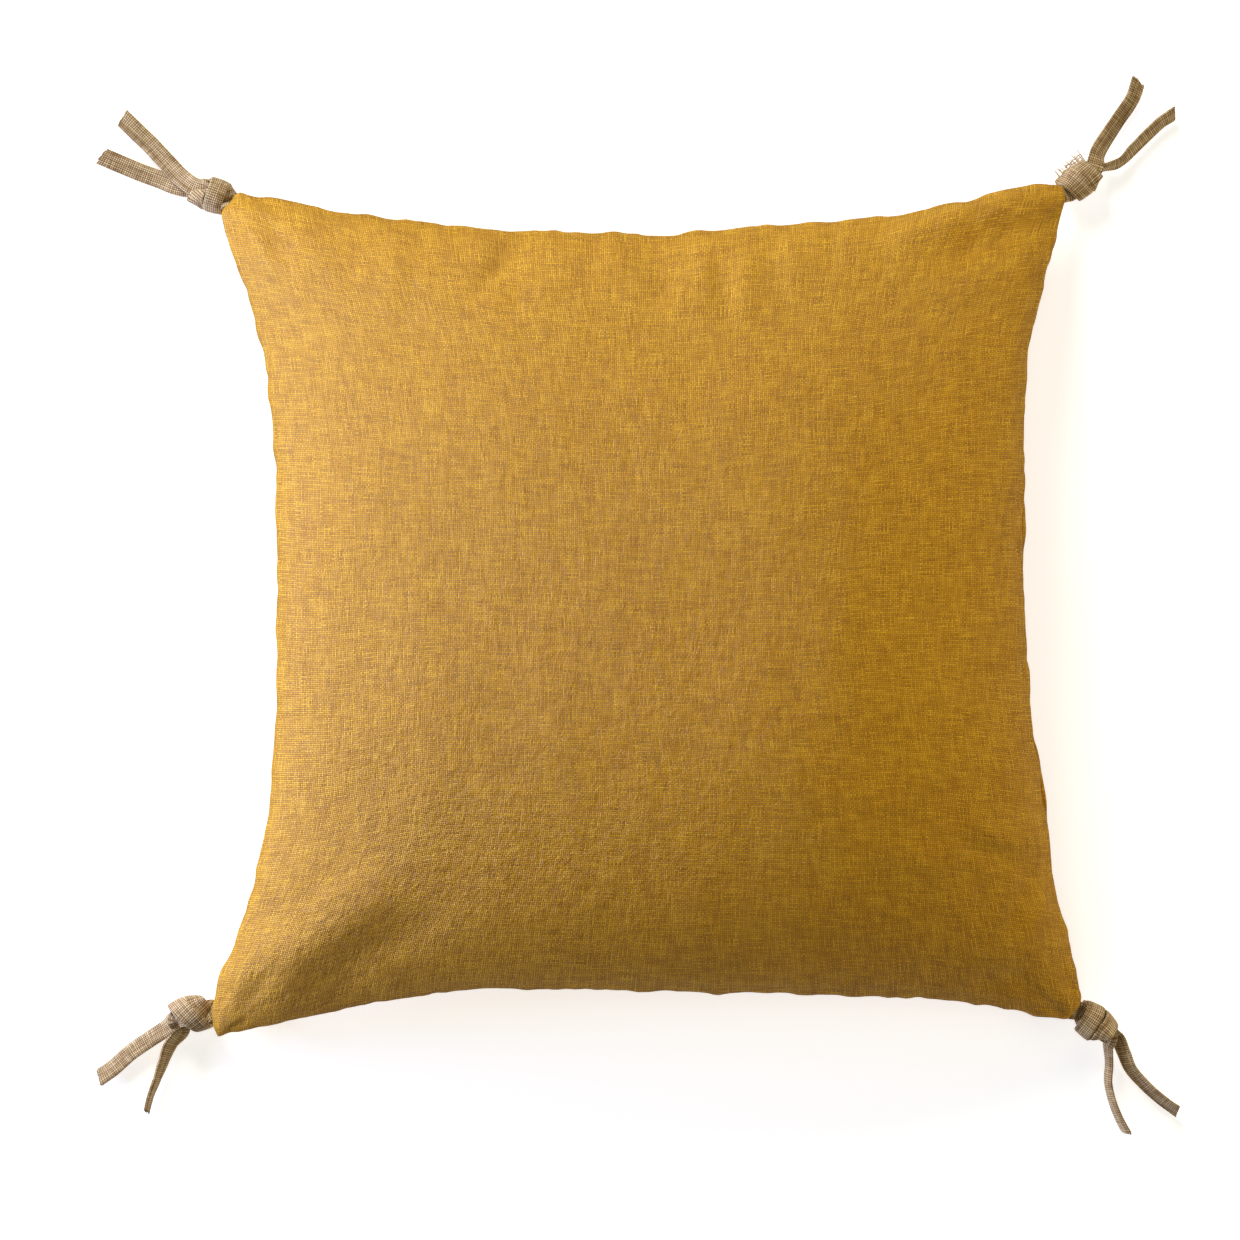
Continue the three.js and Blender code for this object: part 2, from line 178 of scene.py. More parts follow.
def through_table(values):
    """A smooth curve through one seam's table, in metres, as a function of the place along the seam."""
    places = np.array(STATIONS, float)
    depths = np.array(values, float) * MM
    before = np.maximum(np.arange(len(places)) - 1, 0)
    after = np.minimum(np.arange(len(places)) + 1, len(places) - 1)
    slopes = (depths[after] - depths[before]) / (places[after] - places[before])

    def at(t):
        i = np.clip(np.searchsorted(places, t, side="right") - 1, 0, len(places) - 2)
        span = places[i + 1] - places[i]
        s = (t - places[i]) / span
        rise = s * s * (3 - 2 * s)
        pushes = s * (1 - s) ** 2 * slopes[i] + s * s * (s - 1) * slopes[i + 1]
        return depths[i] + (depths[i + 1] - depths[i]) * rise + pushes * span

    return at


INSET = {side: through_table(values) for side, values in DRAWN_IN.items()}


def seam_point(a, b, inset, side, t):
    """A point of the seam from corner a to corner b; inward is to the side given."""
    a, b = np.array(a), np.array(b)
    along = (b - a) / np.linalg.norm(b - a)
    inward = np.array((-along[1], along[0])) * side
    return a + np.multiply.outer(t, b - a) + np.multiply.outer(inset(t), inward)


def blunt_corners(plan):
    """Each corner is blunt where the tape passes the seam: what lies past its end is eased back to it."""
    for tie in TIES.values():
        x, y, facing = tie["end"]
        out = np.array((math.cos(math.radians(facing)), math.sin(math.radians(facing))))
        past = (plan - (x, y)) @ out
        excess = CORNER_EASING * np.log1p(np.exp(past / CORNER_EASING))
        plan = plan - np.multiply.outer(excess, out)
    return plan


def plan_points(u, v):
    """Places in plan of points of the cover, u from left to right and v from bottom to top, -1 to 1."""
    s, r = (u + 1) / 2, (v + 1) / 2
    top = seam_point(CORNERS["top_left"], CORNERS["top_right"], INSET["top"], -1, s)
    bottom = seam_point(CORNERS["bottom_left"], CORNERS["bottom_right"], INSET["bottom"], 1, s)
    left = seam_point(CORNERS["bottom_left"], CORNERS["top_left"], INSET["left"], -1, r)
    right = seam_point(CORNERS["bottom_right"], CORNERS["top_right"], INSET["right"], 1, r)
    s, r = s[:, None], r[:, None]
    flat = {name: np.array(place) for name, place in CORNERS.items()}
    blend = (1 - r) * bottom + r * top + (1 - s) * left + s * right
    blend -= (1 - r) * ((1 - s) * flat["bottom_left"] + s * flat["bottom_right"])
    blend -= r * ((1 - s) * flat["top_left"] + s * flat["top_right"])
    return blunt_corners(blend)


def seam_level(u, v):
    towards_corner = np.abs(u * v) ** SEAM_HEIGHT["droop"]
    return SEAM_HEIGHT["middle"] - (SEAM_HEIGHT["middle"] - SEAM_HEIGHT["corner"]) * towards_corner


def fullness(u, v):
    """0 at the seam and 1 at the middle of the panel: a broad top with rounded flanks."""
    across = 1 - np.abs(u) ** CROWN["flatness"]
    down = 1 - np.abs(v) ** CROWN["flatness"]
    return np.maximum(across * down, 0) ** CROWN["rim_power"]


def settled(z):
    """The back settles on the surface: what would pass through it is flat there, with a soft turn."""
    turn = (np.clip(z, -REST_BLEND, REST_BLEND) + REST_BLEND) ** 2 / (4 * REST_BLEND)
    return np.where(z >= REST_BLEND, z, turn)


def link(obj):
    bpy.context.scene.collection.objects.link(obj)
    return obj


def mesh_object(name, points, faces):
    mesh = bpy.data.meshes.new(name)
    mesh.from_pydata(np.asarray(points, float).tolist(), [], [[int(i) for i in face] for face in faces])
    mesh.update()
    mesh.polygons.foreach_set("use_smooth", [True] * len(mesh.polygons))
    return link(bpy.data.objects.new(name, mesh))


def applied(obj):
    """Turns what the modifiers make of an object into its own mesh."""
    graph = bpy.context.evaluated_depsgraph_get()
    mesh = bpy.data.meshes.new_from_object(obj.evaluated_get(graph))
    old = obj.data
    obj.modifiers.clear()
    obj.data = mesh
    mesh.name = obj.name
    bpy.data.meshes.remove(old)
    return obj


def vertices_of(obj):
    flat = np.empty(len(obj.data.vertices) * 3)
    obj.data.vertices.foreach_get("co", flat)
    return flat.reshape(-1, 3)


def set_vertices(obj, points):
    obj.data.vertices.foreach_set("co", np.asarray(points, float).ravel())
    obj.data.update()


# Camera: straight above, at the distance from which a product is photographed.
# It is focused on the height of the seams, where the frame has this width.
CAMERA = {
    "height": 2.4,
    "focus": 0.04,
    "frame": 0.6448,
    "x": -0.0138,
    "y": -0.0057,
    "sensor": 36,
    "farthest": 10,
}


def add_camera():
    camera = bpy.data.cameras.new("camera")
    camera.sensor_width = CAMERA["sensor"]
    camera.lens = camera.sensor_width * (CAMERA["height"] - CAMERA["focus"]) / CAMERA["frame"]
    camera.clip_end = CAMERA["farthest"]
    obj = link(bpy.data.objects.new("camera", camera))
    obj.location = (CAMERA["x"], CAMERA["y"], CAMERA["height"])
    bpy.context.scene.camera = obj


add_camera()


# Ties.
def half_knot(knot):
    """Half an overhand knot whose heading is X: the doubled tape runs in along the core, is folded over
    at an angle and wraps round it. Each row is a place and the way that the tape's outer face looks."""
    core, aside, reach = KNOT["core"], KNOT["aside"], knot["reach"]
    fold_from = reach - core * math.pi / math.sqrt(2)
    rows = [(Vector((-KNOT["entry"] / 2, -aside / 2, core)), Vector((0, 0, -1)))]
    slant = Vector((1, -1, 0)) / math.sqrt(2)
    for turn in (0, 45, 90, 135, 180):
        a = math.radians(turn)
        along = core * (a + math.sin(a)) / math.sqrt(2)
        over = core * (a - math.sin(a)) / math.sqrt(2)
        place = Vector((fold_from + along, over - aside, core + core * (1 - math.cos(a))))
        rows.append((place, slant * math.sin(a) - Vector((0, 0, math.cos(a)))))
    start, middle, steps = math.degrees(math.atan2(aside, 3 * core)), 270, 10
    for i in range(1, steps + 1):
        angle = math.radians(start + (middle - start) * i / steps)
        out = Vector((0, math.sin(angle), math.cos(angle)))
        off = 1 - i / steps
        place = out * knot["wrap"] * (1 - KNOT["taper"] * off**2)
        face = out + Vector((KNOT["barrel"] * off, 0, 0))
        rows.append((place + Vector((reach * off, 0, 0)), face.normalized()))
    return rows


def whole_knot(knot):
    """The knot's route: it looks the same turned end for end, so the second half is the first turned.
    The tape lies flat where it goes in and comes out."""
    first = half_knot(knot)
    turned = [(Vector((-p.x, p.y, -p.z)), Vector((-f.x, f.y, -f.z))) for p, f in reversed(first[:-1])]
    roll = Matrix.Rotation(math.radians(knot["roll"]), 3, "X")
    rows = []
    for place, face in first + turned:
        place, face = roll @ place, roll @ face
        place.x += knot["lean"] * place.y
        rows.append((place, face))
    entry, leaving = [
        (Vector((way * KNOT["entry"], 0, 0)), Vector((0, 0, math.copysign(1, rows[row][1].z))))
        for row, way in ((0, -1), (-1, 1))
    ]
    return [entry] + rows + [leaving]


def strand_route(tie, strand):
    """Where one strand runs, from the cover's corner through the knot to its cut end."""
    x, y, z, heading = tie["lay"]
    lay = Matrix.Translation((x, y, z)) @ Matrix.Rotation(math.radians(heading), 4, "Z")
    turn = lay.to_3x3()
    layer = (0.5 - strand) * TAPE["thick"]
    knot = [(lay @ (place + face * layer), turn @ face) for place, face in whole_knot(tie["knot"])]
    up = Vector((0, 0, 1))
    x, y, facing = tie["end"]
    forward = Vector((math.cos(math.radians(facing)), math.sin(math.radians(facing)), 0))
    face = up if knot[0][1].z > 0 else -up
    start = Vector((x, y, TAPE["exit"])) + face * layer - forward * TAPE["sewn_in"]
    route = [(start, face)] + knot
    tail = [Vector(point[:3]) for point in tie["tails"][strand]]
    side = 1 if knot[-1][1].z > 0 else -1
    for i, (place, point) in enumerate(zip(tail, tie["tails"][strand])):
        along = (tail[min(i + 1, len(tail) - 1)] - tail[max(i - 1, 0)]).normalized()
        level = up.cross(along).normalized()
        face = Matrix.Rotation(math.radians(point[3]), 3, along) @ along.cross(level)
        route.append((place, face * side))
    return route


def smooth_route(route, step):
    """A route at even steps on one smooth curve, as places and unit ways out."""
    places = np.array([place for place, out in route])
    outs = np.array([out for place, out in route])
    chord = np.concatenate([[0], np.cumsum(np.linalg.norm(np.diff(places, axis=0), axis=1))])
    count = max(int(chord[-1] / step), 8)
    at = np.linspace(0, chord[-1], count + 1)
    slopes = np.gradient(places, chord, axis=0)
    i = np.clip(np.searchsorted(chord, at, side="right") - 1, 0, len(chord) - 2)
    span = (chord[i + 1] - chord[i])[:, None]
    s = ((at - chord[i])[:, None]) / span
    rise = s * s * (3 - 2 * s)
    curve = places[i] + (places[i + 1] - places[i]) * rise
    curve += (s * (1 - s) ** 2 * slopes[i] + s * s * (s - 1) * slopes[i + 1]) * span
    out = outs[i] + (outs[i + 1] - outs[i]) * rise
    return curve, out / np.linalg.norm(out, axis=1)[:, None]


def frames_along(curve, out):
    along = np.gradient(curve, axis=0)
    along /= np.linalg.norm(along, axis=1)[:, None]
    out = out - along * np.sum(out * along, axis=1)[:, None]
    out /= np.linalg.norm(out, axis=1)[:, None]
    return along, np.cross(out, along), out


# The jute weave: threads 1.15 mm apart, eight and a half across the tape, drawn as real relief. The cut end
# slants over the last threads, and each thread ends a little before or after its neighbour.
WEAVE = {
    "threads_round": 20,
    "pitch": 0.00115,
    "steps": 4,
    "relief": 0.00026,
    "thinnest_warp": 0.6,
    "thinnest_weft": 0.75,
    "cut": 0.0014,
    "cut_threads": 5,
    "ragged": 0.0005,
}


def tape_section():
    """The tape's section at even steps round it: a soft lens, closed by a rounded fold on each side."""
    angle = np.linspace(0, 2 * math.pi, 2001)
    cos, sin = np.cos(angle), np.sin(angle)
    side = np.sign(cos) * np.abs(cos) ** TAPE["side_power"] * TAPE["width"] / 2
    rise = np.sign(sin) * np.abs(sin) ** TAPE["face_power"] * TAPE["thick"] / 2
    gone = np.concatenate([[0], np.cumsum(np.hypot(np.diff(side), np.diff(rise)))])
    even = np.linspace(0, gone[-1], WEAVE["threads_round"] * WEAVE["steps"], endpoint=False)
    return np.interp(even, gone, side), np.interp(even, gone, rise)


def woven_relief(length_ways, round_ways, seed):
    """Height of a plain weave, 0 to 1: at each crossing the thread on top is longer one way. The places
    are counted in threads along the tape and round it, and no two threads are equally thick."""
    warp = np.abs(np.sin(math.pi * round_ways))
    weft = np.abs(np.sin(math.pi * length_ways))
    crossing = (np.floor(length_ways) + np.floor(round_ways)) % 2
    height = np.where(crossing == 0, warp * np.sqrt(weft), np.sqrt(warp) * weft)
    rng = np.random.default_rng(seed)
    for ways, thinnest in ((round_ways, WEAVE["thinnest_warp"]), (length_ways, WEAVE["thinnest_weft"])):
        thickness = rng.uniform(thinnest, 1, int(ways.max()) + 1)
        height = height * thickness[np.floor(ways).astype(int)]
    return height


def cut_end(count, side, seed):
    """How far each point near the cut end lies further along: a slant, and threads that end unevenly."""
    rng = np.random.default_rng(seed + 50)
    steps = WEAVE["steps"]
    near_end = np.clip(1 - (count - 1 - np.arange(count)) / (WEAVE["cut_threads"] * steps), 0, 1)[:, None]
    ragged = np.repeat(rng.uniform(-1, 1, len(side) // steps), steps) * WEAVE["ragged"]
    aslant = side / (TAPE["width"] / 2) * WEAVE["cut"] * rng.choice((-1, 1))
    return near_end * aslant + near_end**8 * ragged


def note_weave(obj, along, across, height):
    """Keeps, for the material, where each point lies on its tape and how high its thread stands there; from
    that height the material paints shade into the gaps and a highlight on the tops.
    """
    weave = obj.data.attributes.new("weave", "FLOAT_VECTOR", "POINT")
    weave.data.foreach_set("vector", np.column_stack([along, across, height]).ravel())


def add_strand(name, route, seed):
    """One strand of tape with its woven threads, from the cover to its cut end."""
    curve, out = smooth_route(route, WEAVE["pitch"] / WEAVE["steps"])
    along, across, out = frames_along(curve, out)
    side, rise = tape_section()
    count, sides = len(curve), len(side)
    row, column = np.meshgrid(np.arange(count), np.arange(sides), indexing="ij")
    height = woven_relief(row / WEAVE["steps"], column / WEAVE["steps"], seed)
    normal_side = np.gradient(np.concatenate([rise[-1:], rise, rise[:1]]))[1:-1]
    normal_rise = -np.gradient(np.concatenate([side[-1:], side, side[:1]]))[1:-1]
    size = np.hypot(normal_side, normal_rise)
    lift = (height - 0.5) * WEAVE["relief"]
    sideways = side + lift * normal_side / size
    upwards = rise + lift * normal_rise / size
    ring = curve[:, None] + across[:, None] * sideways[..., None] + out[:, None] * upwards[..., None]
    ring += along[:, None] * cut_end(count, side, seed)[..., None]
    a = (row * sides + column)[:-1].ravel()
    b = (row * sides + (column + 1) % sides)[:-1].ravel()
    faces = np.column_stack([a, b, b + sides, a + sides]).tolist()
    faces.append(list(range(sides))[::-1])
    faces.append([(count - 1) * sides + i for i in range(sides)])
    obj = mesh_object(name, ring.reshape(-1, 3), faces)
    gone = row.ravel() / WEAVE["steps"] * WEAVE["pitch"]
    note_weave(obj, gone, np.tile(side, count), height.ravel())
    return obj, curve


# The top right tape has a frayed edge: short threads that stand out of its knot, in the knot's own frame
# with X along its heading, and longer ones that still cross them. A crossing thread is given by where it
# starts and ends along X and how far out it lies.
FRAY = {
    "count": 18,
    "from": -0.0068,
    "apart": 0.0009,
    "root": 0.005,
    "long": 0.0088,
    "thick": 0.00085,
    "level": 0.0012,
    "shortest": 0.7,
    "lean": (-0.22, 0.3),
    "droop": (0.15, 0.45),
    "wave": (-0.0004, 0.0004),
    "crossing": ((-0.006, 0.0085, 0.0078), (-0.0045, 0.0092, 0.0093), (-0.001, 0.0096, 0.0107)),
    "sides": 6,
    "rows": 7,
    # The loose threads stand at one height, which gives them one middle tone of the painted relief shade.
    "weave_height": 0.45,
    "seed": 77,
}


def frayed_paths():
    """Where the loose threads run: slack, uneven in length, and drooping a little."""
    rng = np.random.default_rng(FRAY["seed"])
    s = np.linspace(0, 1, FRAY["rows"])
    paths = []
    for i in range(FRAY["count"]):
        long = FRAY["long"] * rng.uniform(FRAY["shortest"], 1)
        lean, droop, wave = [rng.uniform(*FRAY[kind]) for kind in ("lean", "droop", "wave")]
        x = FRAY["from"] + FRAY["apart"] * i + lean * long * s + wave * np.sin(math.pi * s)
        paths.append(np.column_stack([x, FRAY["root"] + long * s, FRAY["level"] - droop * long * s**2]))
    for start, end, out in FRAY["crossing"]:
        across = out + 0.0003 * np.sin(5 * math.pi * s)
        over_and_under = 0.0003 + 0.0004 * np.cos(6 * math.pi * s)
        paths.append(np.column_stack([start + (end - start) * s, across, over_and_under]))
    return paths


def add_frayed_threads(tie):
    """The loose threads as thin tapering rods, each closed at both ends."""
    x, y, z, heading = tie["lay"]
    turn = np.array(Matrix.Rotation(math.radians(heading), 3, "Z"))
    sides, rows = FRAY["sides"], FRAY["rows"]
    angle = np.linspace(0, 2 * math.pi, sides, endpoint=False)
    thin = np.linspace(1, 0.5, rows)[:, None, None] * FRAY["thick"] / 2
    paths = frayed_paths()
    points, faces = [], []
    for path in paths:
        along = np.gradient(path, axis=0)
        along /= np.linalg.norm(along, axis=1)[:, None]
        across = np.cross(along, (0, 0, 1))
        across /= np.linalg.norm(across, axis=1)[:, None]
        over = np.cross(across, along)
        ring = across[:, None] * np.cos(angle)[:, None] + over[:, None] * np.sin(angle)[:, None]
        first = len(points)
        points.extend(((path[:, None] + ring * thin).reshape(-1, 3) @ turn.T + (x, y, z)).tolist())
        for row in range(rows - 1):
            for i in range(sides):
                a, b = first + row * sides + i, first + row * sides + (i + 1) % sides
                faces.append((a, b, b + sides, a + sides))
        faces.append(tuple(first + i for i in range(sides))[::-1])
        faces.append(tuple(first + (rows - 1) * sides + i for i in range(sides)))
    obj = mesh_object("frayed_threads", points, faces)
    gone = np.tile(np.repeat(np.linspace(0, FRAY["long"], rows), sides), len(paths))
    number = np.repeat(np.arange(len(paths)), rows * sides)
    note_weave(obj, gone, number * FRAY["apart"], np.full(len(gone), FRAY["weave_height"]))
    return obj


frayed = add_frayed_threads(TIES["top_right"])
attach(frayed, "root")
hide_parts("tie_top_right")

strands = []
for name, tie in TIES.items():
    for strand in (0, 1):
        route = strand_route(tie, strand)
        obj, curve = add_strand(f"tape_{name}_{strand + 1}", route, seed=10 * len(strands))
        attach(obj, "root")
        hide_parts(f"tie_{name}")
        strands.append(obj)


# Cushion. Its net has this many cells along a side, crowded towards the seams.
CELLS = 108
CROWDING = 0.5

# What filling and sewing leave in the front, in millimetres and degrees: low mounds, and hollows where
# the height is negative.
FOLDS = (
    # x, y, heading, length, width, height
    (-75, 177, 54, 38, 10, -1.6),
    (-57, 181, 60, 34, 10, 1.0),
    (-67, 163, 90, 32, 10, -0.9),
    (-44, 176, 94, 30, 9, 0.6),
    (-19, 184, 88, 32, 12, 1.3),
    (7, 172, 92, 36, 12, -1.2),
    (27, 178, 88, 32, 10, 1.0),
    (38, 161, 93, 36, 10, -1.5),
    (50, 163, 90, 38, 10, 1.1),
    (63, 177, 86, 30, 9, -1.0),
    (75, 173, 90, 38, 11, 1.0),
    (94, 182, 86, 28, 9, -0.9),
    (-150, 180, 80, 34, 10, -0.7),
    (-128, 172, 86, 40, 10, 0.6),
    (168, 204, 17, 88, 15, 4.2),
    (178, 190, 21, 70, 17, -4.2),
    (-202, 193, 113, 38, 9, 1.3),
    (-190, 190, 112, 36, 10, -1.0),
    (-167, -165, 38, 92, 28, 4.0),
    (-142, -179, 34, 84, 26, -2.4),
    (-160, -146, 34, 32, 8, 0.8),
    (-200, -196, 52, 44, 8, -0.9),
    (-208, -190, 62, 40, 7, 0.7),
    (177, -126, -23, 42, 9, -1.0),
    (186, -118, -20, 38, 8, 0.7),
    (139, -128, -12, 36, 12, 0.6),
    (188, -192, 4, 36, 15, -1.8),
    (203, -156, 72, 38, 9, 1.0),
    (192, -150, 70, 36, 9, -0.9),
    (-47, -27, -12, 38, 5, 0.28),
    (12, -15, 22, 34, 5, 0.28),
    (-95, -128, 3, 66, 6, 0.35),
    (-30, -136, -6, 42, 6, 0.3),
    (98, 10, 90, 330, 112, 3.6),
    (-112, -62, 88, 130, 52, 1.6),
)

# Gathers that run in from each seam: how far, how high and how far apart, in millimetres.
GATHERS = {
    "top": (42, 0.9, 12),
    "bottom": (16, 0.35, 13),
    "left": (22, 0.4, 12),
    "right": (22, 0.45, 13),
}
# Where the back's cloth rolls out past the seam: side, from and to in millimetres, and how much.
ROLLS = (
    ("top", 112, 182, 0.75),
    ("right", 14, 80, 0.85),
    ("right", -146, -56, 1.0),
    ("left", -94, 90, 0.62),
    ("left", -180, -152, 0.8),
)
# A full roll: how far the cloth moves out and up, in millimetres, at each distance in from the seam. The
# seam lies back in a cleft under the front's edge, and the roll starts as a shelf there.
ROLL_IN = (0, 1.1, 2.1, 3.2, 4.4, 5.5, 6.7, 7.9, 9.1, 10.4, 13, 16, 22)
ROLL_OUT = (-2.1, -1.6, 1.4, 4.4, 6.1, 6.9, 7.0, 6.5, 6.0, 5.3, 3.8, 2.2, 0)
ROLL_UP = (0, -0.8, 1.9, 3.9, 4.2, 3.3, 2.4, 1.5, 0.9, 0.4, 0, 0, 0)
# Crumples that washing leaves all over: width and length of a swell and its height, in millimetres.
CRUMPLES = ((9, 17, 0.17), (6.5, 9, 0.12), (24, 36, 0.4))
# Crumples and gathers die out as they come this near to the seam, and a gather runs straight this far in.
CRUMPLE_ENDS = 0.004
GATHER_ENDS = 0.006
GATHER_RUN = 0.12
# Scallops of the seam line between stitches: where the seeds start, and how long and how deep they are.
SCALLOPS = ((200, 0.012, 0.0009), (210, 0.0052, 0.0005))
# How far in they fade, and how far in any unevenness of the edge runs straight.
SCALLOP_FADES = 0.005
EDGE_RUN = 0.1
# A roll is uneven along its length. Where it lies, it takes up cloth, so both panels draw back behind it.
ROLL_UNEVEN = {"much": 0.25, "long": 0.014}
ROLL_TAKES = {"back": 0.0016, "over": 0.02}
# The turned seam allowance inside leaves a flat rim along the edge, with a faint dip past it.
RIM = {"in": 0.005, "wide": 0.0022, "dip": 0.0004}
# Where each kind of seeded noise starts counting its seeds.
SEEDS = {
    "crumples": 0,
    "back_crumples": 40,
    "gathers": 100,
    "back_gathers": 140,
    "rolls": 220,
}


def cover_grid():
    """Both panels as one closed net that shares its seam: its places u and v, its face and its cells."""
    n = CELLS
    line = np.linspace(-1, 1, n + 1)
    line = (1 - CROWDING) * line + CROWDING * np.sin(line * math.pi / 2)
    column, row = np.meshgrid(np.arange(n + 1), np.arange(n + 1))
    front = row * (n + 1) + column
    rim = (column == 0) | (column == n) | (row == 0) | (row == n)
    back = front.copy()
    back[~rim] = (n + 1) ** 2 + np.arange(np.count_nonzero(~rim))
    u = np.concatenate([line[column.ravel()], line[column[~rim]]])
    v = np.concatenate([line[row.ravel()], line[row[~rim]]])
    side = np.ones(len(u))
    side[(n + 1) ** 2:] = -1
    seam = np.concatenate([rim.ravel(), np.zeros(np.count_nonzero(~rim), bool)])

    def cells(net):
        corners = [net[:-1, :-1], net[:-1, 1:], net[1:, 1:], net[1:, :-1]]
        return np.stack([c.ravel() for c in corners], axis=1)

    return u, v, side, seam, np.vstack([cells(front), cells(back)[:, ::-1]])


def resting_shape(u, v, side):
    """The cover as it lies, before its filling crumples and folds it."""
    plan = plan_points(u, v)
    level = seam_level(u, v)
    full = fullness(u, v)
    z = np.where(side > 0, level + CROWN["front"] * full, settled(level - CROWN["back"] * full))
    return np.column_stack([plan, z])


# How the cloth is reckoned, and the most that its filling may move it from the shape in which it lies.
CLOTH = {
    "frames": 24,
    "quality": 6,
    "air": 3,
    "pressure": 3.0,
    "mass": 0.02,
    "tension": 40,
    "compression": 5,
    "shear": 5,
    "bending": 0.5,
    "most_moved": 0.016,
}


def fill_cover(obj, u, v, seam):
    """The two flat squares of the cover swell with their filling, while the seam keeps its line."""
    obj.shape_key_add(name="lying")
    flat = obj.shape_key_add(name="flat")
    half = FLAT_SIDE / 2
    flat.data.foreach_set("co", np.column_stack([u * half, v * half, 0 * u]).ravel())
    held = obj.vertex_groups.new(name="seam")
    held.add([int(i) for i in np.flatnonzero(seam)], 1.0, "REPLACE")
    cloth = obj.modifiers.new("cloth", "CLOTH")
    settings = cloth.settings
    settings.rest_shape_key = flat
    settings.vertex_group_mass = "seam"
    settings.quality = CLOTH["quality"]
    settings.mass = CLOTH["mass"]
    settings.air_damping = CLOTH["air"]
    settings.tension_stiffness = CLOTH["tension"]
    settings.compression_stiffness = CLOTH["compression"]
    settings.shear_stiffness = CLOTH["shear"]
    settings.bending_stiffness = CLOTH["bending"]
    settings.use_pressure = True
    settings.uniform_pressure_force = CLOTH["pressure"]
    settings.effector_weights.gravity = 0
    cloth.collision_settings.use_collision = False
    cloth.point_cache.frame_start = 1
    cloth.point_cache.frame_end = CLOTH["frames"]
    for number in range(1, CLOTH["frames"] + 1):
        bpy.context.scene.frame_set(number)
    return applied(obj)


def soft_noise(seed, x, y, wide, long):
    """Seeded smooth noise from -1 to 1, with swells of the width and length given."""
    column, row = np.floor(x / wide).astype(int), np.floor(y / long).astype(int)
    s, r = x / wide - column, y / long - row
    s, r = s * s * (3 - 2 * s), r * r * (3 - 2 * r)
    column, row = column - column.min(), row - row.min()
    heights = np.random.default_rng(seed).uniform(-1, 1, (column.max() + 2, row.max() + 2))
    near = heights[column, row] * (1 - s) + heights[column + 1, row] * s
    far = heights[column, row + 1] * (1 - s) + heights[column + 1, row + 1] * s
    return near * (1 - r) + far * r


def seam_places(u, v, plan):
    """For each side of the cover: the way out of it, the place along its seam and the cloth in from it."""
    half = FLAT_SIDE / 2
    return {
        "top": ((0, 1), plan[:, 0], (1 - v) * half),
        "bottom": ((0, -1), plan[:, 0], (1 + v) * half),
        "left": ((-1, 0), plan[:, 1], (1 + u) * half),
        "right": ((1, 0), plan[:, 1], (1 - u) * half),
    }


def surface_height(u, v, side, plan):
    """How far the cloth stands off its smooth shape: folds, gathers and crumples."""
    x, y = plan.T
    front = side > 0
    height = np.zeros(len(u))
    for fold_x, fold_y, heading, length, width, rise in FOLDS:
        cos, sin = math.cos(math.radians(heading)), math.sin(math.radians(heading))
        dx, dy = x - fold_x * MM, y - fold_y * MM
        along = (dx * cos + dy * sin) / (length * MM / 2)
        across = (dy * cos - dx * sin) / (width * MM / 2)
        height += np.where(front, rise * MM * np.exp(-(along**4) - across**2), 0)
    inward = np.minimum(FLAT_SIDE / 2 * (1 - np.abs(u)), FLAT_SIDE / 2 * (1 - np.abs(v)))
    for k, (wide, long, rise) in enumerate(CRUMPLES):
        for seed, face in ((SEEDS["crumples"] + k, front), (SEEDS["back_crumples"] + k, ~front)):
            swell = soft_noise(seed, x, y, wide * MM, long * MM)
            height += np.where(face, swell * rise * MM, 0) * np.minimum(1, inward / CRUMPLE_ENDS)
    for k, (name, (way, place, cloth_in)) in enumerate(seam_places(u, v, plan).items()):
        reach, rise, apart = GATHERS[name]
        for seed, face in ((SEEDS["gathers"] + k, front), (SEEDS["back_gathers"] + k, ~front)):
            folds = soft_noise(seed, place, cloth_in, apart * MM, GATHER_RUN)
            fading = np.exp(-((cloth_in / (reach * MM)) ** 2)) * np.minimum(1, cloth_in / GATHER_ENDS)
            height += np.where(face, folds * fading * rise * MM, 0)
    height -= RIM["dip"] * np.exp(-(((inward - RIM["in"]) / RIM["wide"]) ** 2))
    return height


def edge_shift(u, v, side, plan):
    """How far the cloth moves along the seams: small scallops, and rolls of the back's cloth."""
    shift = np.zeros((len(u), 3))
    for k, (name, (way, place, cloth_in)) in enumerate(seam_places(u, v, plan).items()):
        scallop = np.zeros(len(u))
        for seed, long, deep in SCALLOPS:
            scallop += soft_noise(seed + k, place, cloth_in, long, EDGE_RUN) * deep
        scallop *= np.exp(-cloth_in / SCALLOP_FADES)
        roll = np.zeros(len(u))
        for rolled, start, end, much in ROLLS:
            if rolled == name:
                middle, half = (start + end) / 2 * MM, (end - start) / 2 * MM
                window = much * np.exp(-(((place - middle) / half) ** 4))
                uneven = soft_noise(SEEDS["rolls"] + k, place, cloth_in, ROLL_UNEVEN["long"], EDGE_RUN)
                window *= 1 + ROLL_UNEVEN["much"] * uneven
                out = np.interp(cloth_in / MM, ROLL_IN, ROLL_OUT) * MM
                up = np.interp(cloth_in / MM, ROLL_IN, ROLL_UP) * MM
                withdrawn = ROLL_TAKES["back"] * np.exp(-((cloth_in / ROLL_TAKES["over"]) ** 2))
                roll += window * (np.where(side <= 0, out, 0) - withdrawn)
                shift[:, 2] += np.where(side < 0, window * up, 0)
        shift[:, :2] += np.multiply.outer(scallop + roll, way)
    return shift


